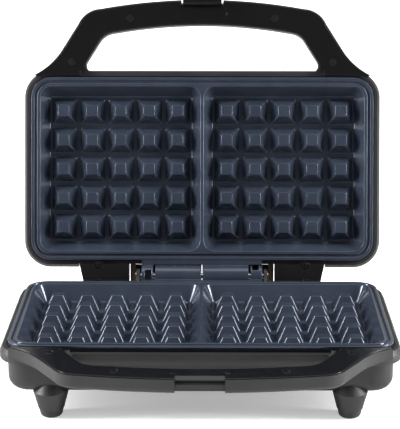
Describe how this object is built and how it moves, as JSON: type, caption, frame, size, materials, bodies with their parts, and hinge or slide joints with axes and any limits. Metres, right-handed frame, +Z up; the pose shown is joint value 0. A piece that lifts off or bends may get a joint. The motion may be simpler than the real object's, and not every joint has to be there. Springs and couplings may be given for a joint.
{
  "type": "double waffle maker",
  "caption": "Double waffle maker with hinged lid, studded non-stick plates, open grip handles, latch and moulded feet, shown open.",
  "frame": {"origin": "middle of the footprint of the whole opened object, on the surface it stands on", "axes": "+Z up, +Y from the handle at the front to the hinge at the rear, +X to the right of someone at the handle"},
  "size_m": [0.275, 0.2838, 0.2614],
  "materials": {
    "matte_housing": "matte moulded heat-resistant plastic",
    "gloss_cover": "high-gloss moulded plastic",
    "nonstick_plate": "die-cast aluminium with a satin non-stick coating",
    "black_screw": "black-oxide steel screws",
    "bright_steel": "bright steel",
    "element_sheath": "oxidised steel heating tube",
    "shield_steel": "aluminised steel sheet",
    "rubber_pad": "soft black rubber",
    "hinge_plastic": "matte black moulded plastic",
    "gland_rubber": "moulded rubber bush",
    "ceramic_white": "glazed ceramic block",
    "glass_sleeve": "varnished glass-fibre sleeve",
    "lead_insulation": "silicone lead insulation",
    "red_lens": "clear red plastic",
    "green_lens": "clear green plastic",
    "lamp_glass": "small glass lamps"
  },
  "bodies": {
    "base": {"lower_housing": "matte_housing", "lower_handle_cover": "gloss_cover", "lower_handle_screws": "black_screw", "lower_plate": "nonstick_plate", "lower_plate_screws": "bright_steel", "lower_heating_element": "element_sheath", "lower_element_clips": "bright_steel", "lower_heat_shield": "shield_steel", "lower_element_leads": "lead_insulation", "left_stop_bracket": "hinge_plastic", "right_stop_bracket": "hinge_plastic", "lower_hinge_screws": "black_screw", "hinge_rod": "bright_steel", "rubber_feet": "rubber_pad", "cord_gland": "gland_rubber", "terminal_block": "ceramic_white", "mains_leads": "lead_insulation", "thermostat": "bright_steel", "left_lead_sleeve": "glass_sleeve", "right_lead_sleeve": "glass_sleeve"},
    "lid": {"upper_housing": "matte_housing", "upper_handle_cover": "gloss_cover", "upper_handle_screws": "black_screw", "upper_plate": "nonstick_plate", "upper_plate_screws": "bright_steel", "upper_heating_element": "element_sheath", "upper_element_clips": "bright_steel", "upper_heat_shield": "shield_steel", "upper_element_leads": "lead_insulation", "left_hinge_cover": "hinge_plastic", "right_hinge_cover": "hinge_plastic", "upper_hinge_screws": "black_screw", "thermal_fuse": "bright_steel", "power_lens": "red_lens", "ready_lens": "green_lens", "indicator_lamps": "lamp_glass", "latch_pin": "bright_steel"},
    "latch": {"latch_clip": "gloss_cover"}
  },
  "joints": [
    {"name": "lid_hinge", "type": "hinge", "parent": "base", "child": "lid", "pos_m": [0, 0.0705, 0.0534], "axis": [1, 0, 0], "range_deg": [0, 105], "deforming": ["left_lead_sleeve", "right_lead_sleeve"]},
    {"name": "latch_swing", "type": "hinge", "parent": "lid", "child": "latch", "pos_m": [0, 0.13102, 0.25418], "axis": [-1, 0, 0], "range_deg": [0, 45]}
  ]
}
